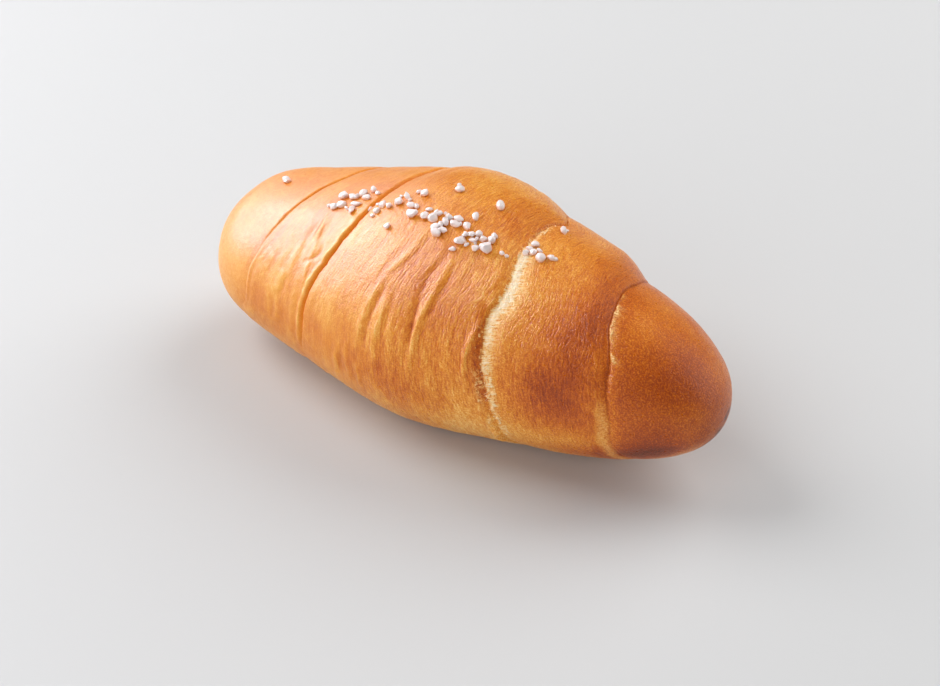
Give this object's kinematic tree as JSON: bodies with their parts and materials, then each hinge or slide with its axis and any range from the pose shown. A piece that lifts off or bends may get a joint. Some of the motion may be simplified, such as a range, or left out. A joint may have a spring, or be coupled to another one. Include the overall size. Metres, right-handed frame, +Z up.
{
  "type": "salt bread roll",
  "caption": "Crescent-style bread roll, a plump spindle of rolled dough with a golden crust, slanted overlapping bands and coarse salt along the crown.",
  "frame": {"origin": "middle of the roll's length and width, on the surface it rests on", "axes": "+X along the roll towards its narrower end, +Y towards its back, +Z up through the salted crown"},
  "size_m": [0.155, 0.0714, 0.0606],
  "materials": {
    "crust": "satin baked crust, golden brown, paler at the seams",
    "salt": "translucent white coarse salt crystals"
  },
  "bodies": {
    "root": {"roll": "crust"}
  },
  "joints": []
}
